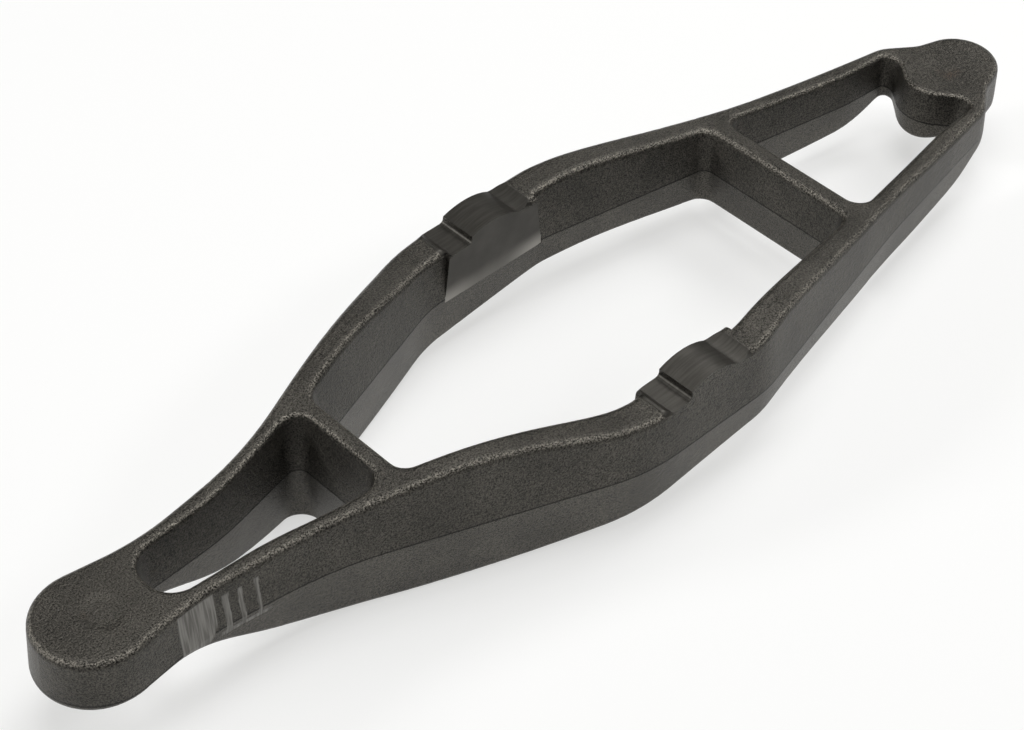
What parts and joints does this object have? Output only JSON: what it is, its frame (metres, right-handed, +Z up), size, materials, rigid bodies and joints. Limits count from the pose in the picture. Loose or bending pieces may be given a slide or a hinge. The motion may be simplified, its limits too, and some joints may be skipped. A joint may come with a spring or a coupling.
{
  "type": "clutch release fork",
  "caption": "Forged clutch release fork: a long open lever with two rails, two crossbars, crowned bearing pads over guide flats, and a boss with a ball seat at each end.",
  "frame": {"origin": "bottom centre of the bounding box", "axes": "+X from the pivot boss to the push rod boss, +Y to the left rail, +Z up, square to the forging's parting plane, with the crowned pads on top"},
  "size_m": [0.4188, 0.117, 0.0484],
  "materials": {
    "forged_steel": "shot-blasted dark steel with machined pads and flats"
  },
  "bodies": {
    "root": {"fork": "forged_steel"}
  },
  "joints": []
}
